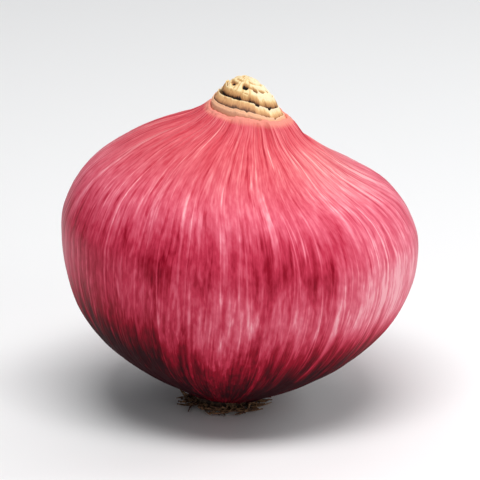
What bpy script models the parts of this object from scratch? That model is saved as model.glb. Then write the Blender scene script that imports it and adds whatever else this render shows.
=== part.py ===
"""A red onion, standing on its clipped roots, at life size.

The bulb is a body of revolution: a full round belly, shoulders that sweep up hollow into a
neck, and a shallow cone below that ends in the root plate. The neck was cut with a knife when
the onion was cured, so its mouth holds a nest of dry leaf sheaths, each one cut a little lower
than the one inside it. The root plate carries a tuft of dry root stubs, and the onion rests on
the plate's flat underside.

Everything is drawn round the onion's own axis, and then the whole onion leans a little.
"""

import math
import random

import bmesh
import bpy
from mathutils import Matrix, Vector

MM = 0.001
MERGE_DISTANCE = 0.01 * MM
SEAM_MERGE_DISTANCE = 0.05 * MM
SHARP_ANGLE = math.radians(40)

# Stance: how far the axis leans towards +X as the onion rests
LEAN = math.radians(4.0)

# The bulb's outline as (radius, height) from the neck's mouth down to the root plate
BULB_OUTLINE_MM = (
    (7.7, 60.6),
    (8.8, 59.2),
    (11.6, 57.0),
    (16.8, 54.4),
    (22.2, 51.2),
    (30.3, 45.8),
    (34.3, 39.2),
    (34.8, 33.2),
    (33.8, 27.0),
    (31.0, 20.1),
    (25.8, 13.6),
    (19.4, 8.8),
    (13.1, 5.2),
    (7.6, 2.4),
)
OUTLINE_STEPS = 2
BULB_SIDES = 64

# The mouth that the sheaths stand in, and the hollow that the root plate sits in
MOUTH_RADIUS = 7.1 * MM
MOUTH_FLOOR = 57.6 * MM
ROOT_HOLLOW_RADIUS = 6.9 * MM
ROOT_HOLLOW_ROOF = 3.9 * MM
GAP = 0.3 * MM

# How far the onion's middle strays from its straight axis towards +X, as (height, offset),
# and how steeply the neck tips over to that side, which starts low on the shoulders
AXIS_BEND_MM = (
    (0, 0),
    (15, 0.1),
    (30, 0.8),
    (42, 0.2),
    (50, -1.4),
    (55, -0.8),
    (59, 0.2),
    (63, 0.0),
    (69, -0.4),
)
NECK_TIP = math.tan(math.radians(7.0))
TIP_START = 44.0 * MM
TIP_BLEND = 15.0 * MM
BACKWARD_BEND = 0.7 * MM
ONION_HEIGHT = 68.0 * MM

# Broad lobes round the belly and round the neck: how many, how deep as a share of the radius,
# and their turn
BELLY_LOBES = ((2, 0.010, 0.35), (3, 0.008, 1.10), (5, 0.006, 2.30), (11, 0.003, 0.40))
NECK_LOBES = ((2, 0.045, 0.20), (3, 0.035, 2.00), (7, 0.015, 0.90))
NECK_START = 54.0 * MM
NECK_BLEND = 6.0 * MM

# The nest of cut sheaths in the neck, from the innermost one out: inner radius, outer radius
# and the height of the cut edge
SHEATHS_MM = (
    (2.9, 3.8, 66.0),
    (4.4, 5.3, 64.1),
    (5.9, 6.8, 62.0),
)
HEART_RADIUS = 2.3 * MM
HEART_HEIGHT = 67.3 * MM
HEART_PIT_RADIUS = 1.0 * MM
HEART_PIT_DEPTH = 1.4 * MM
HEART_PIT_BEND = 0.4 * HEART_PIT_DEPTH
HEART_RIM_WIDTH = 0.7 * MM
HEART_RIM_DROP = 0.3 * MM
SHEATH_GAP_DEPTH = 1.8 * MM
SHEATH_EDGE_DROP = 0.25 * MM
NECK_SIDES = 48

# Waves along the sheaths' cut edges: how many round the neck, height, and turn for each
# millimetre of radius. They start above the mouth's floor, and die out towards the axis.
EDGE_WAVES = ((2, 0.40 * MM, 0.7), (5, 0.24 * MM, 1.9), (9, 0.16 * MM, 3.1))
WAVES_START = MOUTH_FLOOR + 1.2 * MM
WAVES_BLEND = 2.5 * MM
WAVES_FULL_RADIUS = 2.0 * MM

# The root plate and its stubs
PLATE_TOP_RADIUS = 6.6 * MM
PLATE_FOOT_RADIUS = 5.6 * MM
PLATE_BOTTOM = -1.5 * MM
PLATE_SIDES = 28
STUB_COUNT = 34
STUB_RADIUS = 0.45 * MM
STUB_START = 4.6 * MM
STUB_REACH_MM = (8.0, 10.8)
STUB_TURN_SPREAD = 0.12
STUB_CURL_SPREAD = 0.4
STUB_KNEE_SHARE = 0.55
STUB_START_SWELL = 1.15
STUB_TAPER = 0.35
STUB_ROOT_LIFT_MM = (0.5, 0.9)
STUB_KNEE_LIFT_MM = (0.5, 0.8)
STUB_TIP_LIFT_MM = (0.1, 1.2)
STUB_SEED = 11
GOLDEN_ANGLE = math.pi * (3 - math.sqrt(5))

SKIN_RED = (0.56, 0.065, 0.105, 1)
SKIN_ROUGHNESS = 0.42
SHEATH_STRAW = (0.78, 0.60, 0.32, 1)
SHEATH_ROUGHNESS = 0.75
ROOT_BROWN = (0.20, 0.125, 0.070, 1)
ROOT_ROUGHNESS = 0.85


def clear_scene():
    for old in list(bpy.data.objects):
        bpy.data.objects.remove(old, do_unlink=True)


def new_collection(name):
    made = bpy.data.collections.new(name)
    bpy.context.scene.collection.children.link(made)
    return made


def dry_material(name, colour, roughness):
    made = bpy.data.materials.new(name)
    made.use_nodes = True
    shader = made.node_tree.nodes["Principled BSDF"]
    shader.inputs["Base Color"].default_value = colour
    shader.inputs["Roughness"].default_value = roughness
    shader.inputs["Metallic"].default_value = 0.0
    return made


def smooth_line(points, steps):
    """A Catmull-Rom line through the points, with this many steps from each to the next."""
    ends = [2 * points[0] - points[1], *points, 2 * points[-1] - points[-2]]
    line = []
    for before, start, end, after in zip(ends, ends[1:], ends[2:], ends[3:]):
        for k in range(steps):
            t = k / steps
            line.append(
                0.5
                * (
                    2 * start
                    + (end - before) * t
                    + (2 * before - 5 * start + 4 * end - after) * t**2
                    + (3 * start - before - 3 * end + after) * t**3
                )
            )
    line.append(points[-1].copy())
    return line


def evaluated_copy(obj, name):
    """A plain mesh of what the object's modifiers or curve settings make, and no object."""
    graph = bpy.context.evaluated_depsgraph_get()
    mesh = bpy.data.meshes.new_from_object(obj.evaluated_get(graph))
    mesh.name = name
    mesh.transform(obj.matrix_world)
    old = obj.data
    bpy.data.objects.remove(obj, do_unlink=True)
    if old.users == 0 and isinstance(old, bpy.types.Curve):
        bpy.data.curves.remove(old)
    return mesh


def turned(name, outline, sides):
    """A closed solid of revolution round Z. The outline runs down the outer side at +X and
    starts and ends on the axis."""
    line = bpy.data.meshes.new(name + "_outline")
    line.from_pydata(
        [(p.x, 0, p.y) for p in outline], [(k, k + 1) for k in range(len(outline) - 1)], []
    )
    obj = bpy.data.objects.new(name + "_outline", line)
    bpy.context.scene.collection.objects.link(obj)
    screw = obj.modifiers.new("turn", "SCREW")
    screw.steps = sides
    screw.render_steps = sides
    screw.use_merge_vertices = True
    screw.merge_threshold = SEAM_MERGE_DISTANCE
    screw.use_smooth_shade = True
    bpy.context.view_layer.update()
    return evaluated_copy(obj, name)


def bend_at(height, bend_line):
    """The axis's offset towards +X at a height, read from the smooth bend line."""
    for low, high in zip(bend_line, bend_line[1:]):
        if height <= high.x:
            share = (height - low.x) / (high.x - low.x)
            return low.y + (high.y - low.y) * max(0.0, share)
    return bend_line[-1].y


def eased(share):
    """A share from 0 to 1, with an easy start and stop."""
    share = min(1.0, max(0.0, share))
    return share * share * (3 - 2 * share)


def swell(turn, lobes):
    """How much of the radius the lobes add at this turn round the axis."""
    return sum(depth * math.cos(count * (turn - start)) for count, depth, start in lobes)


def grow(mesh):
    """Gives a turned shape the lobes of belly and neck, the axis's bend and the neck's tip."""
    bend_line = smooth_line([Vector(p) * MM for p in AXIS_BEND_MM], 4)
    for vertex in mesh.vertices:
        x, y, z = vertex.co
        turn = math.atan2(y, x)
        belly = math.sin(math.pi * min(1.0, max(0.0, z / ONION_HEIGHT)))
        neck = eased((z - NECK_START) / NECK_BLEND)
        tip = eased((z - TIP_START) / TIP_BLEND)
        scale = 1 + belly**2 * swell(turn, BELLY_LOBES) + neck * swell(turn, NECK_LOBES)
        vertex.co = (
            x * scale + bend_at(z, bend_line),
            y * scale + BACKWARD_BEND * belly,
            z - tip * NECK_TIP * x,
        )


def make_bulb():
    skin = smooth_line([Vector(p) * MM for p in BULB_OUTLINE_MM], OUTLINE_STEPS)
    mouth = [Vector((0, MOUTH_FLOOR)), Vector((MOUTH_RADIUS, MOUTH_FLOOR))]
    root_hollow = [
        Vector((ROOT_HOLLOW_RADIUS, ROOT_HOLLOW_ROOF)),
        Vector((0, ROOT_HOLLOW_ROOF)),
    ]
    mesh = turned("bulb", mouth + skin + root_hollow, BULB_SIDES)
    grow(mesh)
    return mesh


def sheath_outline():
    """The nest in section, from the pit in its heart out and down to its foot."""
    points = [
        (0, HEART_HEIGHT - HEART_PIT_DEPTH),
        (HEART_PIT_RADIUS, HEART_HEIGHT - HEART_PIT_BEND),
        (HEART_RADIUS - HEART_RIM_WIDTH, HEART_HEIGHT),
        (HEART_RADIUS, HEART_HEIGHT - HEART_RIM_DROP),
    ]
    last_radius = HEART_RADIUS
    for inner_mm, outer_mm, edge_mm in SHEATHS_MM:
        inner, outer, edge = inner_mm * MM, outer_mm * MM, edge_mm * MM
        floor = edge - SHEATH_GAP_DEPTH
        points += [
            (last_radius, floor),
            (inner, floor),
            (inner, edge),
            (outer, edge - SHEATH_EDGE_DROP),
        ]
        last_radius = outer
    foot = MOUTH_FLOOR + GAP
    points += [(last_radius, foot), (0, foot)]
    return [Vector(p) for p in points]


def wave_edges(mesh):
    """Lifts and lowers the cut edges round the neck, most at the top of each sheath, so the
    rings keep clear of each other."""
    for vertex in mesh.vertices:
        x, y, z = vertex.co
        turn = math.atan2(y, x)
        radius = math.hypot(x, y)
        share = min(1.0, max(0.0, (z - WAVES_START) / WAVES_BLEND))
        lift = sum(
            height * math.sin(count * turn + twist * radius / MM)
            for count, height, twist in EDGE_WAVES
        )
        away_from_axis = min(1.0, radius / WAVES_FULL_RADIUS)
        vertex.co.z = z + lift * share * away_from_axis


def make_neck_sheaths():
    mesh = turned("neck_sheaths", sheath_outline(), NECK_SIDES)
    wave_edges(mesh)
    grow(mesh)
    return mesh


def ground_under(x):
    """The height, in the onion's own frame, at which the ground lies below this x."""
    return x * math.tan(LEAN)


def make_stub(number, rng, holder):
    """One dry root stub: it leaves the plate's side, arches out and bends down to the ground."""
    turn = number * GOLDEN_ANGLE + rng.uniform(-STUB_TURN_SPREAD, STUB_TURN_SPREAD)
    curl = turn + rng.uniform(-STUB_CURL_SPREAD, STUB_CURL_SPREAD)
    reach = rng.uniform(*STUB_REACH_MM) * MM
    start = Vector((math.cos(turn), math.sin(turn), 0)) * STUB_START
    end = Vector((math.cos(curl), math.sin(curl), 0)) * reach
    knee = start.lerp(end, STUB_KNEE_SHARE)
    lifts = (STUB_ROOT_LIFT_MM, STUB_KNEE_LIFT_MM, STUB_TIP_LIFT_MM)
    for point, lift in zip((start, knee, end), lifts):
        point.z = ground_under(point.x) + rng.uniform(*lift) * MM

    curve = bpy.data.curves.new("root_stub", "CURVE")
    curve.dimensions = "3D"
    curve.bevel_depth = STUB_RADIUS
    curve.bevel_resolution = 1
    curve.use_fill_caps = True
    line = smooth_line([start, knee, end], 2)
    spline = curve.splines.new("POLY")
    spline.points.add(len(line) - 1)
    for k, (point, place) in enumerate(zip(spline.points, line)):
        point.co = (*place, 1)
        point.radius = STUB_START_SWELL - STUB_TAPER * k / (len(line) - 1)
    obj = bpy.data.objects.new("root_stub", curve)
    bpy.context.scene.collection.objects.link(obj)
    bpy.context.view_layer.update()

    mesh = evaluated_copy(obj, "root_stub")
    shape = bmesh.new()
    shape.from_mesh(mesh)
    bmesh.ops.remove_doubles(shape, verts=shape.verts, dist=MERGE_DISTANCE)
    bmesh.ops.recalc_face_normals(shape, faces=shape.faces)
    shape.to_mesh(mesh)
    shape.free()
    holder.objects.link(bpy.data.objects.new("root_stub", mesh))


def make_plate():
    """The root plate: a short plug that narrows to its foot and starts below the ground."""
    top = ROOT_HOLLOW_ROOF - GAP
    shape = bmesh.new()
    bmesh.ops.create_cone(
        shape,
        cap_ends=True,
        segments=PLATE_SIDES,
        radius1=PLATE_FOOT_RADIUS,
        radius2=PLATE_TOP_RADIUS,
        depth=top - PLATE_BOTTOM,
        matrix=Matrix.Translation((0, 0, (top + PLATE_BOTTOM) / 2)),
    )
    mesh = bpy.data.meshes.new("root_plate")
    shape.to_mesh(mesh)
    shape.free()
    return mesh


def cut_at_ground(mesh, stance):
    """Takes away what lies below the ground, and closes the cut with flat faces."""
    to_local = stance.inverted()
    shape = bmesh.new()
    shape.from_mesh(mesh)
    cut = bmesh.ops.bisect_plane(
        shape,
        geom=[*shape.verts, *shape.edges, *shape.faces],
        dist=MERGE_DISTANCE,
        plane_co=to_local @ Vector((0, 0, 0)),
        plane_no=to_local.to_3x3() @ Vector((0, 0, 1)),
        clear_inner=True,
    )
    rim = [e for e in cut["geom_cut"] if isinstance(e, bmesh.types.BMEdge)]
    bmesh.ops.holes_fill(shape, edges=rim, sides=0)
    bmesh.ops.recalc_face_normals(shape, faces=shape.faces)
    bmesh.ops.triangulate(shape, faces=shape.faces)
    shape.to_mesh(mesh)
    shape.free()


def make_root_tuft(stance):
    stubs = new_collection("root_stubs")
    rng = random.Random(STUB_SEED)
    for number in range(STUB_COUNT):
        make_stub(number, rng, stubs)
    plate = bpy.data.objects.new("root_plate", make_plate())
    bpy.context.scene.collection.objects.link(plate)
    union = plate.modifiers.new("fuse_stubs", "BOOLEAN")
    union.operation = "UNION"
    union.operand_type = "COLLECTION"
    union.collection = stubs
    bpy.context.view_layer.update()
    mesh = evaluated_copy(plate, "root_tuft")
    for stub in list(stubs.objects):
        bpy.data.objects.remove(stub, do_unlink=True)
    bpy.data.collections.remove(stubs)
    cut_at_ground(mesh, stance)
    return mesh


def place(name, mesh, material, collection, parent):
    """Puts one finished piece in the onion's collection, leaning with the rest."""
    mesh.materials.clear()
    mesh.materials.append(material)
    mesh.shade_smooth()
    mesh.set_sharp_from_angle(angle=SHARP_ANGLE)
    obj = bpy.data.objects.new(name, mesh)
    collection.objects.link(obj)
    obj.parent = parent
    return obj


def main():
    clear_scene()
    onion = new_collection("onion")
    stance = bpy.data.objects.new("stance", None)
    stance.rotation_euler = (0, LEAN, 0)
    onion.objects.link(stance)
    bpy.context.view_layer.update()

    skin = dry_material("onion_skin", SKIN_RED, SKIN_ROUGHNESS)
    straw = dry_material("dry_sheath", SHEATH_STRAW, SHEATH_ROUGHNESS)
    root = dry_material("dry_root", ROOT_BROWN, ROOT_ROUGHNESS)
    place("bulb", make_bulb(), skin, onion, stance)
    place("neck_sheaths", make_neck_sheaths(), straw, onion, stance)
    place("root_tuft", make_root_tuft(stance.matrix_world.copy()), root, onion, stance)
    bpy.context.view_layer.update()


main()
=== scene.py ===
# %% [markdown]
# # A red onion
#
# This lesson dresses one red onion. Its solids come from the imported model: a bulb, a nest of cut
# leaf sheaths in the neck, and a tuft of clipped roots. Each one is replaced here by a finer
# piece that keeps its form: papery skin with its veins, thin dry sheaths one inside the other,
# and wiry roots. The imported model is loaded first, because everything else is measured from it.

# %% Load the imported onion
import math
import random

import bpy
import numpy as np
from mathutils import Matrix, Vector, noise


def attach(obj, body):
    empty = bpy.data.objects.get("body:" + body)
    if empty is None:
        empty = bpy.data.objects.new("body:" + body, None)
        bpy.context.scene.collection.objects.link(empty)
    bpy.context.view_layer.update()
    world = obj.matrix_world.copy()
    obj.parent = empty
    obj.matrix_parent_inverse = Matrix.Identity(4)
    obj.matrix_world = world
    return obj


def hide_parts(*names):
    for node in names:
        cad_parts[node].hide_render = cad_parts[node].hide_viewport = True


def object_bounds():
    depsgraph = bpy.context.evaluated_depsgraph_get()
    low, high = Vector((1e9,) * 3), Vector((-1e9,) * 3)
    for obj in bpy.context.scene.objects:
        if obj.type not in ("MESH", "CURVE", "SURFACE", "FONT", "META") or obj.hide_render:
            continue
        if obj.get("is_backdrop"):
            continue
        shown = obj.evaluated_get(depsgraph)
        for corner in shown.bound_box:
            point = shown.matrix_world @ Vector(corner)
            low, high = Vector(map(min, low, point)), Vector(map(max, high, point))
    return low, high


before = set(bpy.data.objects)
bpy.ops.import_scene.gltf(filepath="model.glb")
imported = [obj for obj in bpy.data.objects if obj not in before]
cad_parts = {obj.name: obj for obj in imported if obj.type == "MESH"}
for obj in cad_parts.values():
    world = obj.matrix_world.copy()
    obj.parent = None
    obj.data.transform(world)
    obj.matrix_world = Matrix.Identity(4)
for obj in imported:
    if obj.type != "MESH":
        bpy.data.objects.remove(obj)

MM = 0.001
packed_low, packed_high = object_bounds()
bpy.ops.object.select_all(action="DESELECT")
print("packed onion, mm:", [round(side / MM, 1) for side in packed_high - packed_low])

# %% [markdown]
# ## The onion's own form
#
# A bulb grows round an axis, so its form is one outline turned round that axis. No onion is a
# true turned body, though: the belly has broad lobes, the axis bends on its way up, the shoulders
# and the neck tip to one side, and the whole bulb leans as it rests. The skin and the sheaths all
# pass through the same few functions, so they fit each other and the solids they stand for.

# %% The outline and how it grows
LEAN = math.radians(4.0)
ONION_HEIGHT = 68.0 * MM

# (radius, height) down the outer side, from the neck's mouth to the root plate
BULB_OUTLINE_MM = (
    (7.7, 60.6),
    (8.8, 59.2),
    (11.6, 57.0),
    (16.8, 54.4),
    (22.2, 51.2),
    (30.3, 45.8),
    (34.3, 39.2),
    (34.8, 33.2),
    (33.8, 27.0),
    (31.0, 20.1),
    (25.8, 13.6),
    (19.4, 8.8),
    (13.1, 5.2),
    (7.6, 2.4),
)

# The bent axis as (height, offset towards +X), and how steeply and from where the top tips over
AXIS_BEND_MM = (
    (0, 0),
    (15, 0.1),
    (30, 0.8),
    (42, 0.2),
    (50, -1.4),
    (55, -0.8),
    (59, 0.2),
    (63, 0.0),
    (69, -0.4),
)
NECK_TIP = math.tan(math.radians(7.0))
TIP_START = 44.0 * MM
TIP_BLEND = 15.0 * MM
BACKWARD_BEND = 0.7 * MM

# Lobes: how many round the onion, how deep as a share of the radius, and their turn in radians
BELLY_LOBES = ((2, 0.010, 0.35), (3, 0.008, 1.10), (5, 0.006, 2.30), (11, 0.003, 0.40))
NECK_LOBES = ((2, 0.045, 0.20), (3, 0.035, 2.00), (7, 0.015, 0.90))
NECK_START = 54.0 * MM
NECK_BLEND = 6.0 * MM


def smooth_line(points, steps):
    """A Catmull-Rom line through the points, with this many steps from each to the next."""
    p = np.array(points, float)
    p = np.vstack([2 * p[0] - p[1], p, 2 * p[-1] - p[-2]])
    t = np.linspace(0, 1, steps, endpoint=False)[:, None]
    runs = []
    for a, b, c, d in zip(p, p[1:], p[2:], p[3:]):
        square = (2 * a - 5 * b + 4 * c - d) * t**2
        cube = (3 * b - a - 3 * c + d) * t**3
        runs.append(0.5 * (2 * b + (c - a) * t + square + cube))
    return np.vstack([*runs, p[-2]])


def eased(share):
    """A share from 0 to 1, with an easy start and stop."""
    share = np.clip(share, 0, 1)
    return share * share * (3 - 2 * share)


def swell(turn, lobes):
    """How much of the radius the lobes add at this turn round the axis."""
    return sum(depth * np.cos(count * (turn - start)) for count, depth, start in lobes)


BEND_STEPS = 4
bend_line = smooth_line(AXIS_BEND_MM, BEND_STEPS) * MM


def grow(places):
    """Moves points from the straight axis to where they are on the grown, leaning onion."""
    x, y, z = places.T
    turn = np.arctan2(y, x)
    belly = np.sin(math.pi * np.clip(z / ONION_HEIGHT, 0, 1))
    neck = eased((z - NECK_START) / NECK_BLEND)
    tip = eased((z - TIP_START) / TIP_BLEND)
    scale = 1 + belly**2 * swell(turn, BELLY_LOBES) + neck * swell(turn, NECK_LOBES)
    grown_x = x * scale + np.interp(z, bend_line[:, 0], bend_line[:, 1])
    grown_y = y * scale + BACKWARD_BEND * belly
    grown_z = z - tip * NECK_TIP * x
    return np.column_stack(
        [
            grown_x * math.cos(LEAN) + grown_z * math.sin(LEAN),
            grown_y,
            grown_z * math.cos(LEAN) - grown_x * math.sin(LEAN),
        ]
    )


print("the outline has", len(BULB_OUTLINE_MM), "points")

# %% [markdown]
# ## Helpers for turned pieces
#
# A turned piece is made as by hand: one vertex is extruded from point to point along the
# outline, and a Screw modifier turns the line once round the axis. Edit mode's Spin would do the
# same, but it slows down with every step, and the skin has hundreds. Once the modifier is
# applied, the seam and the poles are merged and the normals are made to agree, because a turned
# line can come out facing inwards.

# %% Draw a line and turn it
def draw_line(name, line):
    """An object whose mesh is a line in the XZ plane, left in edit mode."""
    bpy.ops.object.select_all(action="DESELECT")
    bpy.ops.mesh.primitive_plane_add(size=MM)
    piece = bpy.context.object
    piece.name = name
    piece.data.name = name
    bpy.ops.object.mode_set(mode="EDIT")
    bpy.ops.mesh.merge(type="CENTER")
    bpy.ops.transform.translate(value=(line[0][0], 0, line[0][1]))
    for right, up in np.diff(line, axis=0):
        bpy.ops.mesh.extrude_vertices_move(TRANSFORM_OT_translate={"value": (right, 0, up)})
    return piece


def turn_line(piece, sides):
    """Turns the line into a closed body, and leaves edit mode."""
    bpy.ops.object.mode_set(mode="OBJECT")
    bpy.ops.object.modifier_add(type="SCREW")
    screw = piece.modifiers[-1]
    screw.steps = sides
    screw.render_steps = sides
    bpy.ops.object.modifier_apply(modifier=screw.name)
    bpy.ops.object.mode_set(mode="EDIT")
    bpy.ops.mesh.select_all(action="SELECT")
    bpy.ops.mesh.remove_doubles(threshold=MM / 2000)
    bpy.ops.mesh.normals_make_consistent(inside=False)
    bpy.ops.object.mode_set(mode="OBJECT")
    bpy.ops.object.shade_smooth()
    return piece


def read_points(piece, what="co"):
    """The place of each point, or its normal, one to a row."""
    values = np.empty(len(piece.data.vertices) * 3)
    piece.data.vertices.foreach_get(what, values)
    return values.reshape(-1, 3)


def write_points(piece, places):
    """Moves each point to its new place."""
    piece.data.vertices.foreach_set("co", np.ascontiguousarray(places).ravel())
    piece.data.update()


def keep_on_points(piece, name, values):
    """Stores a value or a vector on each point, for a material to read."""
    kind, field = ("FLOAT", "value") if values.ndim == 1 else ("FLOAT_VECTOR", "vector")
    layer = piece.data.attributes.new(name, kind, "POINT")
    layer.data.foreach_set(field, np.ascontiguousarray(values).ravel())


SEED_SHIFT = (7.3, 3.1, 5.7)


def field(places, scale, seed=0.0):
    """Soft noise from -1 to 1 at each point, the same on every run."""
    moved = np.asarray(places) * scale + np.array(SEED_SHIFT) * seed
    return np.array([noise.noise(place) for place in moved.tolist()])


print("helpers ready")

# %% [markdown]
# ## The skin
#
# The outermost scale dries into a papery skin. It keeps the veins of the leaf that it was: fine
# lines that run from the root plate to the neck and crowd together where the onion narrows. They
# are raised a little here in the mesh itself, with shallow flutes between them, creases where the
# neck has shrunk, and a ragged lip where the neck was cut. The lines follow the surface, so each
# point keeps where it is round the axis and how far down the skin, and everything that runs along
# the skin, in the mesh and in its colours, is read from that.

# %% Turn the skin
# (radius, height) up the wall of the mouth and over the lip, to where the outline starts
MOUTH_LIP_MM = ((7.1, 58.8), (7.1, 60.2), (7.2, 60.6), (7.4, 60.8))
MOUTH_RADIUS = MOUTH_LIP_MM[0][0] * MM
MOUTH_FLOOR = 57.6 * MM
ROOT_HOLLOW_RADIUS = 6.9 * MM
ROOT_HOLLOW_ROOF = 3.9 * MM
SKIN_SIDES = 400
SKIN_STEPS = 15

outline = smooth_line(BULB_OUTLINE_MM, SKIN_STEPS) * MM
mouth_floor = [(0, MOUTH_FLOOR), (MOUTH_RADIUS, MOUTH_FLOOR)]
mouth_lip = np.array(MOUTH_LIP_MM) * MM
root_hollow = [(ROOT_HOLLOW_RADIUS, ROOT_HOLLOW_ROOF), (0, ROOT_HOLLOW_ROOF)]
skin_line = np.vstack([mouth_floor, mouth_lip, outline, root_hollow])
skin = turn_line(draw_line("papery_skin", skin_line), SKIN_SIDES)
print("skin:", len(skin.data.polygons), "faces")


# %% Note where each point lies along the skin
MOUTH_REACH = 7.65 * MM
ABOVE_BELLY = 50 * MM


def share_along(places):
    """0 in the mouth, 0 to 1 from the lip down the outside to the root, and 1 under it."""
    radius = np.hypot(places[:, 0], places[:, 1])
    steps = np.hypot(*np.diff(outline, axis=0).T)
    share = np.concatenate([[0], np.cumsum(steps)]) / steps.sum()
    found = np.interp(-places[:, 2], -outline[:, 1], share)
    in_mouth = (radius < MOUTH_REACH) & (places[:, 2] > ABOVE_BELLY)
    found[in_mouth] = 0
    return found


straight = read_points(skin)
turn = np.arctan2(straight[:, 1], straight[:, 0])
share = share_along(straight)
grain = np.column_stack([np.cos(turn), np.sin(turn), share])
keep_on_points(skin, "grain", grain)
print("share along the skin:", share.min(), "to", share.max())

# %% Raise the veins and creases
FLUTE_HEIGHT = 0.20 * MM
VEIN_HEIGHT = 0.07 * MM
CREASE_HEIGHT = 0.42 * MM
ROOT_FOLD_HEIGHT = 0.30 * MM
DENT_DEPTH = 0.25 * MM
DENT_WIDTH = 24 * MM
LIP_RAGGED = 0.45 * MM
LIP_FOOT = 59.6 * MM
LIP_BLEND = 1.0 * MM
CREASES_END = 0.22
ROOT_FOLDS_START = 0.88
SWAY_SCALE = (1.6, 1.6, 3.0)
SWAY_SEED = 40


def along(count, length, seed, wander=0.25):
    """Noise drawn out along the skin: about six times count ridges round the onion."""
    sway = field(grain * SWAY_SCALE, 1.0, seed + SWAY_SEED)
    bent = turn + wander * sway / count
    spots = np.column_stack([np.cos(bent) * count, np.sin(bent) * count, share * length])
    return field(spots, 1.0, seed)


near_neck = eased((CREASES_END - share) / 0.20)
near_root = eased((share - ROOT_FOLDS_START) / (1 - ROOT_FOLDS_START))
outside = share > 0.004
veins = 1 - 2 * np.abs(along(count=26, length=2.2, seed=1))
flutes = along(count=7, length=1.0, seed=2)
creases = 1 - 2 * np.abs(along(count=9, length=3.0, seed=3, wander=0.8))
root_folds = along(count=14, length=5.0, seed=4)
dents = field(straight / DENT_WIDTH, 1.0, 5)

write_points(skin, grow(straight))
normals = read_points(skin, "normal")
relief = (
    VEIN_HEIGHT * veins
    + FLUTE_HEIGHT * flutes * (1 - 0.6 * near_neck)
    + CREASE_HEIGHT * (creases - 0.4) * near_neck
    + ROOT_FOLD_HEIGHT * root_folds * near_root
    + DENT_DEPTH * dents
)
fades = outside * eased(share / 0.02 + 0.2) * eased((1.0 - share) / 0.01 + 0.2)
shaped = read_points(skin) + normals * (relief * fades)[:, None]
lip = eased((straight[:, 2] - LIP_FOOT) / LIP_BLEND)
ring = grain * (1, 1, 0)
ragged = field(ring, 3.0, 6) + 0.6 * field(ring, 9.0, 7)
shaped[:, 2] += lip * LIP_RAGGED * ragged
write_points(skin, shaped)
keep_on_points(skin, "vein", veins)
print("relief, mm:", round((relief * fades).min() / MM, 2), round((relief * fades).max() / MM, 2))

# %% Put the skin in its place
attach(skin, "root")
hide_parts("bulb")
print("skin in place of the packed bulb")

# %% [markdown]
# ## The cut neck
#
# The leaves of an onion are tubes, one inside the other, and their dry ends stand in the neck as
# rings that rise to a blunt dome. Each ring has a thin pale rim, an outer wall that falls away
# steeply, and a dark crevice where it meets the next ring out. One carved block could show them,
# but its gaps would look pressed in. So each ring is modelled on its own: its wall in section,
# turned, then waved, so that some rings touch and gaps open between others. The inner rings sit a
# little off the middle, which opens the widest gap on one side.

# %% The dome and the rings
# (radius, height) down the neck's dome
NECK_DOME_MM = (
    (0.0, 67.2),
    (1.6, 67.0),
    (3.0, 66.2),
    (4.5, 64.7),
    (5.9, 63.0),
    (6.8, 61.8),
    (7.5, 60.8),
)
SHEATHS_MM = (
    # inner radius, outer radius, how proud of the dome, waves in and out, offset, how peach
    (6.52, 7.04, -0.10, 0.05, (0.0, 0.0), 0.8),
    (5.49, 6.42, 0.10, 0.10, (0.0, 0.0), 0.15),
    (4.29, 5.12, 0.30, 0.14, (0.28, 0.27), 0.0),
)
RIM_WIDTH = 0.20 * MM
# The round of the rim, as shares of its width: (across from the inside, down from the top)
RIM_ROUND = ((0.08, 0.35), (0.30, 0.06), (0.55, 0.0), (0.85, 0.10), (1.05, 0.40))
SLOPE_START = 0.15
SLOPE_STEPS = 8
SLOPE_BULGE = 0.7
WALL_DROP = 0.85
SHEATH_FOOT = 57.9 * MM
SHEATH_SIDES = 192
SHEATH_STEPS = 12
DOME_STEPS = 8
CUT_SLANT = 0.20

dome_line = smooth_line(NECK_DOME_MM, DOME_STEPS) * MM


def dome(radius):
    """The height of the neck's dome at a distance from its middle."""
    return np.interp(radius, dome_line[:, 0], dome_line[:, 1])


def slanted(x, rise):
    """How far the slant of the cut lowers a point: more towards +X, and nothing at the foot."""
    towards_x = 0.5 * (x + np.sqrt(x * x + MM * MM) - MM)
    return CUT_SLANT * eased(rise * 1.4) * towards_x


def wall_line(inner, outer, rim_top, crevice):
    """A sheath in section: up the inside, over the rim, down the outer wall."""
    rim_edge, slope_top = inner + RIM_WIDTH, rim_top - RIM_WIDTH
    up = [(inner, height) for height in np.linspace(SHEATH_FOOT, rim_top, SHEATH_STEPS)[:-1]]
    rim = [
        (inner + RIM_WIDTH * across, rim_top - RIM_WIDTH * fall) for across, fall in RIM_ROUND
    ]
    slope = [
        (
            rim_edge + (outer - rim_edge) * eased(part) ** SLOPE_BULGE,
            slope_top + (crevice - slope_top) * part,
        )
        for part in np.linspace(SLOPE_START, 1, SLOPE_STEPS)
    ]
    down = [(outer, height) for height in np.linspace(crevice, SHEATH_FOOT, SHEATH_STEPS)[1:]]
    return np.array([*up, *rim, *slope, *down, up[0]])


print("dome:", len(dome_line), "points, from the middle to radius", NECK_DOME_MM[-1][0], "mm")

# %% Wave the rings and grow them onto the onion
SWING_LENGTH = 5 * MM
EDGE_LIFT = 0.28 * MM
NOTCH_DEPTH = 0.42 * MM
NOTCH_LEVEL = 0.28
SEED_STEP = 10.0


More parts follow.
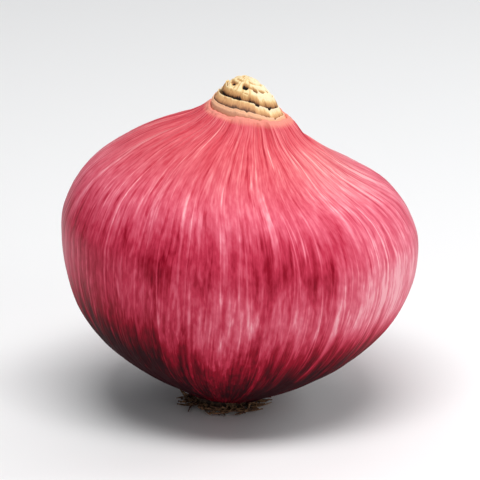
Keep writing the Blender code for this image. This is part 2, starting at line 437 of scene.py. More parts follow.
def wave_sheath(piece, rim_top, crevice, push, offset, peach, seed):
    """Waves the wall in and out and its edge up and down, then grows it onto the onion."""
    spots = read_points(piece)
    around = np.arctan2(spots[:, 1], spots[:, 0])
    ring = np.column_stack([np.cos(around), np.sin(around), np.zeros(len(around))])
    down_wall = (rim_top - spots[:, 2]) / (rim_top - crevice)
    rise = np.clip((spots[:, 2] - SHEATH_FOOT) / (rim_top - SHEATH_FOOT), 0, 1)
    swing = ring * 1.4 + np.array([0, 0, 1.0]) * (spots[:, 2] / SWING_LENGTH)[:, None]
    wide = field(swing, 1.0, seed) + 0.5 * field(swing, 2.8, seed + 1)
    wide += 0.25 * field(swing, 8.0, seed + 5)
    spots[:, :2] += ring[:, :2] * (push * wide * eased(rise * 1.6))[:, None]
    edge = field(ring, 1.2, seed + 2) + 0.5 * field(ring, 4.2, seed + 3)
    edge += 0.40 * field(ring, 14.0, seed + 4)
    notch = eased((field(ring, 3.4, seed + 6) - NOTCH_LEVEL) / 0.10)
    lift = EDGE_LIFT * edge - NOTCH_DEPTH * notch
    spots[:, 2] += lift * eased(rise * 1.8 - 0.6) - slanted(spots[:, 0], rise)
    spots[:, :2] += np.array(offset) * eased(rise * 1.5)[:, None]
    # down the wall: the material darkens this to near black in the crevice, painted shade there
    keep_on_points(piece, "grain", np.column_stack([ring[:, 0], ring[:, 1], down_wall]))
    keep_on_points(piece, "peach", np.full(len(spots), float(peach)))
    write_points(piece, grow(spots))


sheaths = []
for number, row in enumerate(SHEATHS_MM, 1):
    inner_mm, outer_mm, proud_mm, push_mm, offset_mm, peach = row
    rim_top = dome(inner_mm * MM) + proud_mm * MM
    crevice = rim_top - (rim_top - dome(outer_mm * MM)) / WALL_DROP
    line = wall_line(inner_mm * MM, outer_mm * MM, rim_top, crevice)
    sheath = turn_line(draw_line(f"sheath_{number}", line), SHEATH_SIDES)
    offset = [side * MM for side in offset_mm]
    wave_sheath(sheath, rim_top, crevice, push_mm * MM, offset, peach, number * SEED_STEP)
    sheaths.append(sheath)
print("sheaths:", len(sheaths), "rings of", len(sheaths[0].data.polygons), "faces")

# %% [markdown]
# In the middle the last leaves are too tight to part. They are one solid heart, turned from the
# top of the dome, with the crooked lines of the rolled leaves pressed into it, and a row of pits
# along the outer line, where one leaf has shrunk away from the next, darkened with painted shade.

# %% Turn the heart of the neck
HEART_RADIUS = 4.20 * MM
HEART_STEPS = 60
HEART_SIDES = 200

crown = [(reach, dome(reach)) for reach in np.linspace(0, HEART_RADIUS, HEART_STEPS)]
side = np.linspace(dome(HEART_RADIUS), SHEATH_FOOT, SHEATH_STEPS)[1:]
heart_line = np.array([*crown, *[(HEART_RADIUS, height) for height in side], (0, SHEATH_FOOT)])
heart = turn_line(draw_line("sheath_heart", heart_line), HEART_SIDES)
print("heart:", len(heart.data.polygons), "faces")

# %% Press the leaf lines and the pits into it
HEART_OFFSET = (0.30 * MM, 0.27 * MM)
HEART_LINES_MM = (1.15, 2.17, 3.23)
LINE_WIDTH_MM = 0.20
LINE_DEPTH = 0.34 * MM
LINE_SEED = 93
CROWN_SKIRT = 0.6 * MM
CROWN_BLEND = 0.5 * MM
LUMP_HEIGHT = 0.16 * MM
PIT_SHADE_DEPTH = 0.65 * MM
PIT_REACH_MM = 3.23
PITS = (
    # turn in degrees from +X, how long and how wide in millimetres, how deep in millimetres
    (-150, 0.54, 0.25, 1.1),
    (-101, 0.54, 0.35, 1.7),
    (-66, 0.46, 0.31, 1.6),
    (-38, 0.72, 0.24, 1.2),
    (-12, 0.45, 0.22, 1.0),
    (60, 0.54, 0.22, 0.9),
    (140, 0.45, 0.22, 0.9),
)

spots = read_points(heart)
around = np.arctan2(spots[:, 1], spots[:, 0])
reach = np.hypot(spots[:, 0], spots[:, 1])
crooked = 0.30 * field(spots / (1.9 * MM), 1.0, 91) + 0.12 * field(spots / (0.6 * MM), 1.0, 92)
reach_mm = reach / MM + crooked
upper = eased((spots[:, 2] - dome(reach) + CROWN_SKIRT) / CROWN_BLEND)
sunk = np.zeros(len(spots))
for number, line_mm in enumerate(HEART_LINES_MM):
    broken = eased((field(spots / (1.4 * MM), 1.0, LINE_SEED + number) + 0.30) / 0.4)
    off_line = (reach_mm - line_mm) / LINE_WIDTH_MM
    sunk = np.maximum(sunk, LINE_DEPTH * broken * np.exp(-(off_line**2)))
for turn_degrees, long_mm, wide_mm, deep_mm in PITS:
    turned_away = (around - math.radians(turn_degrees) + math.pi) % math.tau - math.pi
    lengthways = turned_away * reach / MM / long_mm
    crossways = (reach_mm - PIT_REACH_MM) / wide_mm
    sunk = np.maximum(sunk, deep_mm * MM * np.exp(-(lengthways**4 + crossways**2)))
sunk *= upper
# painted shade: how far a point lies below the dome, in lines and pits, darkens it in the sheath
# ramp
below = (np.maximum(dome(reach) - spots[:, 2], 0) + sunk) / PIT_SHADE_DEPTH
keep_on_points(heart, "grain", np.column_stack([np.cos(around), np.sin(around), below]))
keep_on_points(heart, "peach", np.zeros(len(spots)))
heart_rise = np.clip((spots[:, 2] - SHEATH_FOOT) / (dome(0.0) - SHEATH_FOOT), 0, 1)
lumps = field(spots / (1.0 * MM), 1.0, 90) + 0.5 * field(spots / (0.4 * MM), 1.0, 94)
spots[:, 2] += upper * LUMP_HEIGHT * lumps - sunk - slanted(spots[:, 0], heart_rise * 1.6)
spots[:, :2] += np.array(HEART_OFFSET)
write_points(heart, grow(spots))
sheaths.append(heart)
for sheath in sheaths:
    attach(sheath, "root")
    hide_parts("neck_sheaths")
print("pressed in:", len(HEART_LINES_MM), "lines and", len(PITS), "pits")

# %% [markdown]
# ## The roots
#
# Under the bulb sits the root plate, a corky disc that the scales grow from. Its roots have
# dried to wires and were clipped short. The plate is turned and roughened. The roots are
# splines of one curve with a round bevel, each thinner at its tip, which is the easy way to make
# many wires, and the curve is then made a mesh. Both stay upright where the bulb leans, because
# the onion stands on them.

# %% The root plate
PLATE_TOP = 3.6 * MM
PLATE_FOOT = 0.45 * MM
PLATE_SIDES = 96
# (radius, height) down the plate's rounded side
PLATE_SIDE_MM = ((6.2, 3.3), (6.4, 2.6), (6.3, 1.6), (5.9, 0.9), (5.5, 0.5))
PLATE_ROUGHNESS = 0.22 * MM
ABOVE_FLOOR = 0.02 * MM

plate_line = np.array(
    [
        *[(reach * MM, PLATE_TOP) for reach in (0, 1.5, 3, 4.5, 5.6)],
        *[(reach * MM, height * MM) for reach, height in PLATE_SIDE_MM],
        *[(reach * MM, PLATE_FOOT) for reach in (4.8, 4, 3.2, 2.4, 1.6, 0.8, 0)],
    ]
)
plate = turn_line(draw_line("root_plate", plate_line), PLATE_SIDES)
spots = read_points(plate)
rough = field(spots / (1.1 * MM), 1.0, 60) + 0.5 * field(spots / (0.5 * MM), 1.0, 61)
spots += read_points(plate, "normal") * (PLATE_ROUGHNESS * rough)[:, None]
keep_on_points(plate, "grain", spots / MM)
spots[:, 2] = np.maximum(spots[:, 2], ABOVE_FLOOR)
write_points(plate, spots)
print("plate:", len(plate.data.polygons), "faces")

# %% The clipped roots
ROOT_COUNT = 150
ROOT_POINTS = 7
ROOT_THICK = 0.20 * MM
ROOT_THICK_SPREAD = (0.7, 1.25)
ROOT_TURN_SPREAD = (-0.2, 0.2)
ROOT_START_MM = (3.2, 6.0)
ROOT_REACH_MM = (6.4, 10.2)
ROOT_CURL = (-0.55, 0.55)
ROOT_START_HEIGHT_MM = (0.6, 1.9)
ROOT_TIP_HEIGHT_MM = (0.25, 1.6)
ROOT_WAVE = 0.10
ROOT_SAG = 0.5 * MM
GOLDEN_ANGLE = math.pi * (3 - math.sqrt(5))
root_draw = random.Random(5)


def root_path(number):
    """One root's points: out of the plate, down to the ground, then wherever it dried."""
    turn_out = number * GOLDEN_ANGLE + root_draw.uniform(*ROOT_TURN_SPREAD)
    start_reach = root_draw.uniform(*ROOT_START_MM) * MM
    end_reach = root_draw.uniform(*ROOT_REACH_MM) * MM
    curl = root_draw.uniform(*ROOT_CURL)
    start_height = root_draw.uniform(*ROOT_START_HEIGHT_MM) * MM
    tip_height = root_draw.uniform(*ROOT_TIP_HEIGHT_MM) * MM
    points = []
    for share_out in np.linspace(0, 1, ROOT_POINTS):
        reach_out = start_reach + (end_reach - start_reach) * share_out
        angle = turn_out + curl * share_out**2 + ROOT_WAVE * math.sin(5 * share_out + number)
        line_height = start_height + (tip_height - start_height) * share_out
        line_height -= ROOT_SAG * math.sin(math.pi * share_out)
        height = max(line_height, ROOT_THICK * 1.1)
        points.append((math.cos(angle) * reach_out, math.sin(angle) * reach_out, height))
    return points


bpy.ops.object.select_all(action="DESELECT")
bpy.ops.curve.primitive_nurbs_path_add()
roots = bpy.context.object
roots.name = "clipped_roots"
roots.data.name = "clipped_roots"
roots.data.splines.clear()
roots.data.bevel_depth = ROOT_THICK
roots.data.bevel_resolution = 1
roots.data.use_fill_caps = True
roots.data.resolution_u = 2
for number in range(ROOT_COUNT):
    spline = roots.data.splines.new("NURBS")
    path = root_path(number)
    spline.points.add(len(path) - 1)
    spline.use_endpoint_u = True
    spline.order_u = 4
    thick = root_draw.uniform(*ROOT_THICK_SPREAD)
    for k, (point, place) in enumerate(zip(spline.points, path)):
        point.co = (*place, 1)
        point.radius = thick * (1.2 - 0.6 * k / (len(path) - 1))
bpy.ops.object.convert(target="MESH")
bpy.ops.object.mode_set(mode="EDIT")
bpy.ops.mesh.select_all(action="SELECT")
bpy.ops.mesh.remove_doubles(threshold=MM / 1000)
bpy.ops.mesh.normals_make_consistent(inside=False)
bpy.ops.object.mode_set(mode="OBJECT")
bpy.ops.object.shade_smooth()
keep_on_points(roots, "grain", read_points(roots) / MM)
for piece in (plate, roots):
    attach(piece, "root")
    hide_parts("root_tuft")
print("roots:", ROOT_COUNT, "strands,", len(roots.data.polygons), "faces")

# %% [markdown]
# ## Helpers for materials
#
# Every finish here is a node tree, with no pictures. Written out node by node, such a tree is
# long and hard to follow, so a few short functions each add one kind of node, plug in its inputs
# and give back its output. A tree then reads like a sum.

# %% Node helpers
def srgb(red, green, blue):
    """A colour as a screen shows it, 0 to 255, turned into the linear values of a shader."""
    parts = np.array([red, green, blue]) / 255
    linear = np.where(parts <= 0.04045, parts / 12.92, ((parts + 0.055) / 1.055) ** 2.4)
    return (*[float(value) for value in linear], 1.0)


def add(tree, kind, inputs=None, **settings):
    """Adds a node. Its inputs are given as numbers or as other nodes' outputs."""
    made = tree.nodes.new(kind)
    for name, value in settings.items():
        setattr(made, name, value)
    for socket, value in (inputs or {}).items():
        if isinstance(value, bpy.types.NodeSocket):
            tree.links.new(value, made.inputs[socket])
        else:
            made.inputs[socket].default_value = value
    return made


def mixed(tree, share_of_second, first, second, blend_type="MIX"):
    """The colour output of a Mix node."""
    made = add(
        tree,
        "ShaderNodeMix",
        {0: share_of_second, 6: first, 7: second},
        data_type="RGBA",
        blend_type=blend_type,
    )
    return made.outputs[2]


def math_node(tree, operation, first, second=0.0, third=0.0):
    """The result of a Math node."""
    made = add(tree, "ShaderNodeMath", {0: first, 1: second, 2: third}, operation=operation)
    return made.outputs[0]


def times(tree, first, second):
    """The product of two values."""
    return math_node(tree, "MULTIPLY", first, second)


def ramp(tree, value, stops):
    """A Color Ramp with these (place, colour) stops."""
    made = add(tree, "ShaderNodeValToRGB", {"Fac": value})
    elements = made.color_ramp.elements
    elements[0].position, elements[0].color = stops[0]
    elements[1].position, elements[1].color = stops[-1]
    for place, colour in stops[1:-1]:
        elements.new(place).color = colour
    return made.outputs["Color"]


def spread(tree, value, low, high, to_low=0.0, to_high=1.0):
    """Brings a value's range to another, with easy ends."""
    made = add(
        tree,
        "ShaderNodeMapRange",
        {"Value": value, "From Min": low, "From Max": high, "To Min": to_low, "To Max": to_high},
        interpolation_type="SMOOTHSTEP",
    )
    return made.outputs["Result"]


def new_material(name):
    """A material, its node tree and the Principled BSDF in it."""
    material = bpy.data.materials.new(name)
    material.use_nodes = True
    return material, material.node_tree, material.node_tree.nodes["Principled BSDF"]


print("node helpers ready")

# %% [markdown]
# Veins, fibres and streaks are one effect at several scales: noise that is fine across the grain
# and long along it. It is built once, as a node group, and each material places it with its own
# count, length and threshold. It gives two masks: broad soft streaks, and thin lines.

# %% The streak group
def streak_group():
    """A node group that puts out a mask of broad streaks and one of thin lines."""
    tree = bpy.data.node_groups.new("streaks_along_grain", "ShaderNodeTree")
    sockets = (
        ("Grain", "NodeSocketVector", (0, 0, 0)),
        ("Count", "NodeSocketFloat", 10.0),
        ("Length", "NodeSocketFloat", 1.0),
        ("Wander", "NodeSocketFloat", 0.1),
        ("Detail", "NodeSocketFloat", 2.0),
        ("Seed", "NodeSocketFloat", 0.0),
        ("Low", "NodeSocketFloat", 0.4),
        ("High", "NodeSocketFloat", 0.6),
        ("Line Width", "NodeSocketFloat", 0.02),
    )
    for name, kind, value in sockets:
        made = tree.interface.new_socket(name, in_out="INPUT", socket_type=kind)
        made.default_value = value
    for name in ("Mask", "Lines"):
        tree.interface.new_socket(name, in_out="OUTPUT", socket_type="NodeSocketFloat")
    given = tree.nodes.new("NodeGroupInput").outputs
    sway = add(
        tree,
        "ShaderNodeTexNoise",
        {"Vector": given["Grain"], "W": given["Seed"], "Scale": 2.2, "Detail": 1.0},
        noise_dimensions="4D",
    ).outputs["Color"]
    centred = add(
        tree, "ShaderNodeVectorMath", {0: sway, 1: (0.5, 0.5, 0.5)}, operation="SUBTRACT"
    ).outputs[0]
    bent = add(
        tree,
        "ShaderNodeVectorMath",
        {0: centred, "Scale": given["Wander"]},
        operation="SCALE",
    ).outputs[0]
    moved = add(
        tree, "ShaderNodeVectorMath", {0: given["Grain"], 1: bent}, operation="ADD"
    ).outputs[0]
    stretch = add(
        tree,
        "ShaderNodeCombineXYZ",
        {"X": given["Count"], "Y": given["Count"], "Z": given["Length"]},
    ).outputs[0]
    drawn = add(
        tree, "ShaderNodeVectorMath", {0: moved, 1: stretch}, operation="MULTIPLY"
    ).outputs[0]
    lines = add(
        tree,
        "ShaderNodeTexNoise",
        {"Vector": drawn, "W": given["Seed"], "Scale": 1.0, "Detail": given["Detail"]},
        noise_dimensions="4D",
    ).outputs["Fac"]
    off_middle = math_node(tree, "ABSOLUTE", math_node(tree, "SUBTRACT", lines, 0.5))
    results = tree.nodes.new("NodeGroupOutput").inputs
    tree.links.new(spread(tree, lines, given["Low"], given["High"]), results["Mask"])
    tree.links.new(spread(tree, off_middle, given["Line Width"], 0.0), results["Lines"])
    return tree


STREAKS = streak_group()


def streaks(tree, grain_socket, count, length, wander, seed, low=0.3, high=0.7):
    """Broad streaks: a mask that is soft between two levels of the noise."""
    values = {
        "Grain": grain_socket,
        "Count": count,
        "Length": length,
        "Wander": wander,
        "Seed": seed,
        "Low": low,
        "High": high,
    }
    return add(tree, "ShaderNodeGroup", values, node_tree=STREAKS).outputs["Mask"]


def thin_lines(tree, grain_socket, count, length, wander, seed, line_width):
    """Thin lines: where the same noise passes through its middle."""
    values = {
        "Grain": grain_socket,
        "Count": count,
        "Length": length,
        "Wander": wander,
        "Seed": seed,
        "Detail": 0.0,
        "Line Width": line_width,
    }
    return add(tree, "ShaderNodeGroup", values, node_tree=STREAKS).outputs["Lines"]


print("streak group:", len(STREAKS.nodes), "nodes")

# %% [markdown]
# ## The skin's finish
#
# A red onion's skin is one dye at many strengths. Where there is much of it the skin is a deep,
# full maroon, and where there is little it is a milky pink. Mixing each streak in a colour of its
# own gives grey where two of them cross. So the whole skin is worked out first as one number, its
# tone: a ramp from the neck to the root, with a dark belt round the middle, a painted highlight
# above the belt, painted bounce light below it, and a dark end that is partly the skin's own
# maroon and partly painted shade. Then pale and dark patches, streaks, thin lines and flecks each
# lift or lower it a little. The flecks are mostly dark on the shoulders and mostly pale below. The
# right flank is painted paler, as if lit from that side, with a painted sheen, and the left flank
# and part of the lower belly are darkened with painted shade. Only then is the tone read through a
# palette, one for the body and a warmer one for the shoulders. The surface is a dry satin with
# little gloss, duller towards the root, and its finest lines are a bump, too small for the mesh.

# %% The skin's tones and palettes
# The tone on the way from the neck to the root, as (share of the way down, tone)
TONE_AND_PAINTED_LIGHT = (
    (0.00, 0.72),
    (0.10, 0.675),
    (0.22, 0.71),
    # a painted highlight: the tone lifted above the belt, where the key light falls
    (0.33, 0.775),
    (0.385, 0.65),
    (0.43, 0.55),
    (0.47, 0.51),
    # painted bounce light: the tone lifted again below the belt
    (0.52, 0.615),
    (0.57, 0.665),
    (0.62, 0.62),
    # a dark end: partly the skin's own deep maroon, partly painted shade
    (0.67, 0.43),
    (0.745, 0.20),
    (0.85, 0.04),
    (0.93, 0.05),
    (1.00, 0.22),
)
# The colours of the tones, of the body and of the shoulders, from the darkest to the palest
SKIN_TONES = (
    (0.00, srgb(40, 3, 10)),
    (0.18, srgb(92, 4, 20)),
    (0.38, srgb(148, 16, 40)),
    (0.56, srgb(192, 53, 78)),
    (0.74, srgb(217, 92, 114)),
    (0.88, srgb(234, 130, 147)),
    (1.00, srgb(246, 172, 182)),
)
SHOULDER_TONES = (
    (0.00, srgb(70, 8, 14)),
    (0.30, srgb(154, 24, 40)),
    (0.55, srgb(200, 64, 77)),
    (0.72, srgb(218, 97, 106)),
    (0.88, srgb(232, 132, 135)),
    (1.00, srgb(245, 170, 166)),
)
LIP_COLOUR = srgb(236, 150, 132)
TONE_SHIFT = -0.105
print("skin palettes:", len(SKIN_TONES), "and", len(SHOULDER_TONES), "colours")

# %% The skin's patches, painted light and shade, and streaks
# How much a patch adds to the tone, whether it is broken up, and where it grows from none to
# full: X is towards that side of the onion, and Z is the share of the way down the skin
PATCHES_AND_PAINTED_LIGHT = (
    # painted light: the right flank paler, with a painted sheen, on its shoulder, belly and edge
    (0.13, True, (("X", 0.35, 0.80), ("Z", 0.04, 0.12), ("Z", 0.36, 0.22))),
    (0.20, True, (("X", 0.42, 0.80), ("Z", 0.26, 0.44), ("Z", 0.66, 0.54))),
    (0.16, False, (("X", 0.50, 0.80), ("X", 1.06, 0.88), ("Z", 0.31, 0.40), ("Z", 0.56, 0.44))),
    # a flush on the belt, off the middle
    (-0.10, True, (("X", -0.10, 0.20), ("X", 0.60, 0.35), ("Z", 0.31, 0.40), ("Z", 0.56, 0.44))),
    # painted shade: the left flank below the belt, and the lower belly right of the middle
    (-0.33, True, (("X", -0.10, -0.90), ("Z", 0.44, 0.62))),
    (-0.11, False, (("X", 0.05, 0.45), ("Z", 0.57, 0.68))),
)
# Streaks: how many round the onion, how long, how much they wander, their seed, and the levels
# of the noise where they start and where they are full
SOFT_PATCHES = (1.8, 2.2, 0.3, 3.0)
UNEVEN_ENDS = (13.0, 2.0, 0.2, 14.0)
COME_AND_GO = (7.0, 5.0, 0.3, 13.0, 0.40, 0.60)
DARK_STREAKS = (6.0, 3.0, 0.3, 8.0, 0.50, 0.70)
PALE_STREAKS = (15.0, 1.3, 0.10, 2.0, 0.50, 0.66)
LOWER_STREAKS = (10.0, 0.8, 0.06, 25.0, 0.54, 0.64)
NECK_STREAKS = (26.0, 3.0, 0.15, 6.0, 0.50, 0.66)
FINE_STREAKS = (56.0, 5.0, 0.06, 4.0, 0.40, 0.70)
PALE_FLECKS = (42.0, 15.0, 0.3, 31.0, 0.52, 0.68)
DARK_FLECKS = (34.0, 8.0, 0.25, 33.0, 0.52, 0.70)
MOTTLE = (40.0, 40.0, 0.2, 9.0, 0.25, 0.75)
FINEST_LINES = (90.0, 5.0, 0.05, 5.0, 0.25, 0.75)
# Thin lines: how many, how long, how much they wander, their seed and their width
WIDER_LINES = (8.0, 0.7, 0.10, 21.0, 0.035)
NARROWER_LINES = (19.0, 1.3, 0.08, 22.0, 0.045)


def add_patches_and_painted_light(tree, tone, parts, soft):
    """Patches, painted light and shade added to the tone; each mask multiplies its ramps."""
    for strength, is_broken, ramps in PATCHES_AND_PAINTED_LIGHT:
        mask = soft if is_broken else 1.0
        for part, none, full in ramps:
            mask = times(tree, mask, spread(tree, parts[part], none, full))
        tone = math_node(tree, "MULTIPLY_ADD", mask, strength, tone)
    return tone


print("skin:", len(PATCHES_AND_PAINTED_LIGHT), "patches")

# %% Work out the skin's tone
# Shares of the way down the skin between which something grows, and from how much to how much
ON_LOWER_HALF = (0.40, 0.56)
NEAR_NECK = (0.26, 0.02, 0.35, 1.0)
FEWER_PALE_ABOVE = (0.34, 0.50, 0.35, 1.0)
MORE_DARK_ABOVE = (0.34, 0.50, 2.0, 1.0)
UNEVEN_BY = 0.07


def skin_tone(tree, grain_at, parts, fine, mottle):
    """The tone of each point from 0, darkest, to 1, palest, painted light and shade included."""
    share_down = parts["Z"]
    uneven = streaks(tree, grain_at, *UNEVEN_ENDS)
    down = math_node(tree, "MULTIPLY_ADD", uneven, UNEVEN_BY, share_down)
    tone = ramp(tree, down, [(place, (level, level, level, 1)) for place, level in TONE_AND_PAINTED_LIGHT])
    soft = streaks(tree, grain_at, *SOFT_PATCHES)
    soft = math_node(tree, "MULTIPLY_ADD", soft, 0.6, 0.5)
    tone = add_patches_and_painted_light(tree, tone, parts, soft)

    fades = streaks(tree, grain_at, *COME_AND_GO)
    fades = math_node(tree, "MULTIPLY_ADD", fades, 0.85, 0.15)
    lower_half = spread(tree, share_down, *ON_LOWER_HALF)
    near_neck = spread(tree, share_down, *NEAR_NECK)
    pale_share = spread(tree, share_down, *FEWER_PALE_ABOVE)
    dark_share = spread(tree, share_down, *MORE_DARK_ABOVE)
    effects = (
        (-0.09, streaks(tree, grain_at, *DARK_STREAKS)),
        (0.13, times(tree, fades, streaks(tree, grain_at, *PALE_STREAKS))),
        (0.13, times(tree, lower_half, streaks(tree, grain_at, *LOWER_STREAKS))),
        (-0.15, times(tree, near_neck, streaks(tree, grain_at, *NECK_STREAKS))),
        (0.20, times(tree, fades, thin_lines(tree, grain_at, *WIDER_LINES))),
        (0.12, times(tree, fades, thin_lines(tree, grain_at, *NARROWER_LINES))),
        (0.13, times(tree, pale_share, streaks(tree, grain_at, *PALE_FLECKS))),
        (-0.08, times(tree, dark_share, streaks(tree, grain_at, *DARK_FLECKS))),
        (0.08, fine),
        (0.14, mottle),
    )
    for strength, mask in effects:
        tone = math_node(tree, "MULTIPLY_ADD", mask, strength, tone)
    return math_node(tree, "ADD", tone, TONE_SHIFT)


print("tone:", len(TONE_AND_PAINTED_LIGHT), "places from the neck to the root")

# %% The skin material
ON_SHOULDERS = (0.36, 0.10)
ON_LIP = (0.020, 0.002, 0.0, 0.9)
SATIN = 0.34
DULL_BY_ROOT = (0.48, 0.70, 0.0, 0.34)


def dress_skin():
    """The papery skin: its tone as a colour, its roughness and its finest lines."""
    material, tree, shader = new_material("papery_skin")
    grain_at = add(tree, "ShaderNodeAttribute", attribute_name="grain").outputs["Vector"]
    vein_height = add(tree, "ShaderNodeAttribute", attribute_name="vein").outputs["Fac"]
    parts = add(tree, "ShaderNodeSeparateXYZ", {"Vector": grain_at}).outputs
    share_down = parts["Z"]
    fine = streaks(tree, grain_at, *FINE_STREAKS)
    mottle = streaks(tree, grain_at, *MOTTLE)

    tone = skin_tone(tree, grain_at, parts, fine, mottle)
    body, shoulders = ramp(tree, tone, SKIN_TONES), ramp(tree, tone, SHOULDER_TONES)
    colour = mixed(tree, spread(tree, share_down, *ON_SHOULDERS), body, shoulders)
    colour = mixed(tree, spread(tree, share_down, *ON_LIP), colour, LIP_COLOUR)
    tree.links.new(colour, shader.inputs["Base Color"])

    rough = math_node(tree, "MULTIPLY_ADD", mottle, 0.12, SATIN)
    rough = math_node(tree, "MULTIPLY_ADD", fine, -0.05, rough)
    rough = math_node(tree, "ADD", rough, spread(tree, share_down, *DULL_BY_ROOT))
    tree.links.new(rough, shader.inputs["Roughness"])
    shader.inputs["Specular IOR Level"].default_value = 0.10
    shader.inputs["Specular Tint"].default_value = srgb(255, 200, 212)

    lines = streaks(tree, grain_at, *FINEST_LINES)
    height = math_node(tree, "MULTIPLY_ADD", lines, 0.6, times(tree, mottle, 0.4))
    height = math_node(tree, "MULTIPLY_ADD", vein_height, 0.2, height)
    bump = add(
        tree, "ShaderNodeBump", {"Height": height, "Strength": 0.6, "Distance": 0.06 * MM}
    )
    tree.links.new(bump.outputs["Normal"], shader.inputs["Normal"])
    return material


skin.data.materials.append(dress_skin())
print("skin dressed")

# %% [markdown]
# ## The neck's finish
#
# Dry leaf sheath is matt and fibrous. Its cut edge is pale cream, its sides are straw, and it
# darkens quickly with depth: partly its own browner colour, and partly painted shade, near black
# in the crevices and pits. Each point of a ring knows how far down the wall it is, from 0 at the
# rim to 1 in the crevice, and each point of the heart how deep it is pressed in, so one ramp gives
# all three. The outermost ring is still joined to the red skin, and takes a peach tint from it.
# The right side of the neck is painted paler, as the side the light comes from, with less painted
# shade in its crevices.

# %% The sheath material
# Rim to crevice: the sheath's cream, straw and browns, then near black, which is painted shade
SHEATH_DOWN_INTO_SHADE = (
    (0.00, srgb(254, 234, 194)),
    (0.14, srgb(244, 214, 154)),
    (0.34, srgb(216, 167, 108)),
    (0.66, srgb(184, 130, 80)),
    (0.84, srgb(134, 88, 52)),
    (0.95, srgb(58, 32, 22)),
    (1.00, srgb(22, 12, 10)),
)
PEACH = srgb(246, 186, 150)
# How many, how long, how much they wander, and their seed, then the levels where they show
FIBRES = (40.0, 1.0, 0.05, 11.0)
STAINS = (6.0, 1.0, 0.2, 12.0, 0.46, 0.70)
LIT_SIDE = (0.0, 0.75)


def dress_sheath():
    """Dry leaf sheath: pale at its rim, and dark with painted shade in its crevices."""
    material, tree, shader = new_material("dry_sheath")
    grain_at = add(tree, "ShaderNodeAttribute", attribute_name="grain").outputs["Vector"]
    peach = add(tree, "ShaderNodeAttribute", attribute_name="peach").outputs["Fac"]
    parts = add(tree, "ShaderNodeSeparateXYZ", {"Vector": grain_at}).outputs
    lit_side = spread(tree, parts["X"], *LIT_SIDE)
    fibres = streaks(tree, grain_at, *FIBRES)
    stains = streaks(tree, grain_at, *STAINS)
    down = math_node(tree, "MULTIPLY_ADD", stains, 0.30, parts["Z"])
    # painted light: the right side, where the light comes from, paler, its crevices less dark
    down = math_node(tree, "MULTIPLY_ADD", lit_side, -0.34, down)
    down = math_node(tree, "MULTIPLY_ADD", fibres, 0.12, down)
    colour = ramp(tree, times(tree, down, 0.86), SHEATH_DOWN_INTO_SHADE)
    colour = mixed(tree, peach, colour, PEACH)
    tree.links.new(colour, shader.inputs["Base Color"])
    shader.inputs["Roughness"].default_value = 0.78
    bump = add(
        tree, "ShaderNodeBump", {"Height": fibres, "Strength": 0.6, "Distance": 0.08 * MM}
    )
    tree.links.new(bump.outputs["Normal"], shader.inputs["Normal"])
    return material


sheath_material = dress_sheath()
for sheath in sheaths:
    sheath.data.materials.append(sheath_material)
print("neck dressed")

# %% [markdown]
# ## The roots' finish
#
# Dry roots are brown wires, paler where they were clipped or rubbed, and the plate between them
# is a darker brown.

# %% The root material
ROOT_DARK = srgb(76, 46, 34)
ROOT_PALE = srgb(160, 122, 88)
PLATE_DARK = srgb(40, 26, 20)
PLATE_PALE = srgb(104, 78, 56)


def dress_roots(name, dark, pale):
    """A rough, dry finish between two browns."""
    material, tree, shader = new_material(name)
    spot = add(tree, "ShaderNodeAttribute", attribute_name="grain").outputs["Vector"]
    coarse = add(tree, "ShaderNodeTexNoise", {"Vector": spot, "Scale": 0.9, "Detail": 3.0})
    fine = add(tree, "ShaderNodeTexNoise", {"Vector": spot, "Scale": 5.0, "Detail": 2.0})
    tone = spread(tree, coarse.outputs["Fac"], 0.35, 0.68)
    colour = mixed(tree, tone, dark, pale)
    tree.links.new(colour, shader.inputs["Base Color"])
    shader.inputs["Roughness"].default_value = 0.85
    bump = add(
        tree,
        "ShaderNodeBump",
        {"Height": fine.outputs["Fac"], "Strength": 0.7, "Distance": 0.1 * MM},
    )
    tree.links.new(bump.outputs["Normal"], shader.inputs["Normal"])
    return material


roots.data.materials.append(dress_roots("dry_root", ROOT_DARK, ROOT_PALE))
plate.data.materials.append(dress_roots("root_plate", PLATE_DARK, PLATE_PALE))
print("roots dressed")

# %% [markdown]
# ## Floor, light and camera
#
# The floor is plain and pale. The main light is a large soft one, high up and a little in front,
# which gives the broad highlight above the belly and leaves the lower half to darken. A second
# one at the back right brightens that shoulder and edge, a weak one fills in from the front
# right, and the last lights the floor behind. A pale world does the rest. One light alone would
# leave one flank black. The camera has a long lens, so the form is hardly foreshortened, and it
# looks down at the onion by as much as the photograph does.

# %% The floor and the world
FLOOR_SIDE = 4.0
FLOOR_COLOUR = srgb(240, 240, 240)
WORLD_COLOUR = srgb(240, 242, 246)
WORLD_STRENGTH = 0.26

bpy.ops.object.select_all(action="DESELECT")
bpy.ops.mesh.primitive_plane_add(size=FLOOR_SIDE)
floor = bpy.context.object
floor.name = "floor"
floor_material, floor_tree, floor_shader = new_material("pale_floor")
floor_shader.inputs["Base Color"].default_value = FLOOR_COLOUR
floor_shader.inputs["Roughness"].default_value = 0.8
floor.data.materials.append(floor_material)
floor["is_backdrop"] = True

world = bpy.data.worlds.new("studio")
world.use_nodes = True
sky = world.node_tree.nodes["Background"]
sky.inputs["Color"].default_value = WORLD_COLOUR
sky.inputs["Strength"].default_value = WORLD_STRENGTH
bpy.context.scene.world = world
bpy.context.scene.view_settings.view_transform = "Standard"
print("floor and world ready")

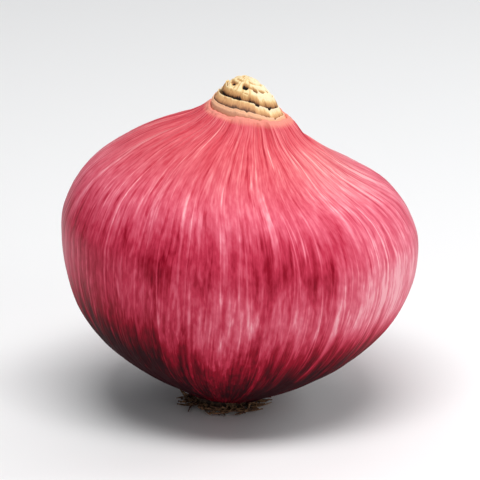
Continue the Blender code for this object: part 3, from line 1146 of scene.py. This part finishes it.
# %% The lights
low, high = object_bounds()
onion_middle = (low + high) / 2
floor_behind = Vector((0, 0.25, 0))
LIGHTS = (
    # name, azimuth and elevation in degrees, distance and size in metres, power in watts,
    # and what it looks at
    ("key", 3, 70, 0.70, (0.50, 0.24), 4.1, onion_middle),
    ("rim", 108, 34, 0.70, (0.30, 0.30), 1.2, onion_middle),
    ("fill", 40, 22, 0.90, (0.60, 0.60), 1.3, onion_middle),
    ("backdrop", 180, 80, 0.60, (0.50, 0.50), 0.8, floor_behind),
)


def soft_light(name, azimuth, elevation, distance, size, power, target):
    """A soft light that looks at a point. Azimuth 0 is the viewer's side, 90 is +X."""
    around_it, up = math.radians(azimuth), math.radians(elevation)
    back = Vector(
        (math.sin(around_it) * math.cos(up), -math.cos(around_it) * math.cos(up), math.sin(up))
    )
    bpy.ops.object.light_add(type="AREA", location=target + back * distance)
    light = bpy.context.object
    light.name = name
    light.data.shape = "RECTANGLE"
    light.data.size, light.data.size_y = size
    light.data.energy = power
    light.rotation_mode = "QUATERNION"
    light.rotation_quaternion = back.to_track_quat("Z", "Y")


for light_row in LIGHTS:
    soft_light(*light_row)
print("lights:", ", ".join(row[0] for row in LIGHTS))

# %% The camera
CAMERA_ELEVATION = math.radians(18.0)
CAMERA_LENS = 250.0
SENSOR = 36.0
ONION_SHARE_OF_FRAME = 0.74

width = (packed_high - packed_low).x
distance = width / ONION_SHARE_OF_FRAME * CAMERA_LENS / SENSOR
back = Vector((0, -math.cos(CAMERA_ELEVATION), math.sin(CAMERA_ELEVATION)))
bpy.ops.object.camera_add(location=onion_middle + back * distance)
camera = bpy.context.object
camera.name = "camera"
camera.data.lens = CAMERA_LENS
camera.data.sensor_width = SENSOR
camera.data.clip_end = 10.0
camera.rotation_mode = "QUATERNION"
camera.rotation_quaternion = back.to_track_quat("Z", "Y")
bpy.context.scene.camera = camera
print("camera", round(distance, 3), "m away")

# %% [markdown]
# The last cell prints the dressed size, to set beside the imported size printed at the start,
# and closes the lesson.

# %% Print the dressed size and finish
low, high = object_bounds()
print("dressed onion, mm:", [round(side / MM, 1) for side in high - low])
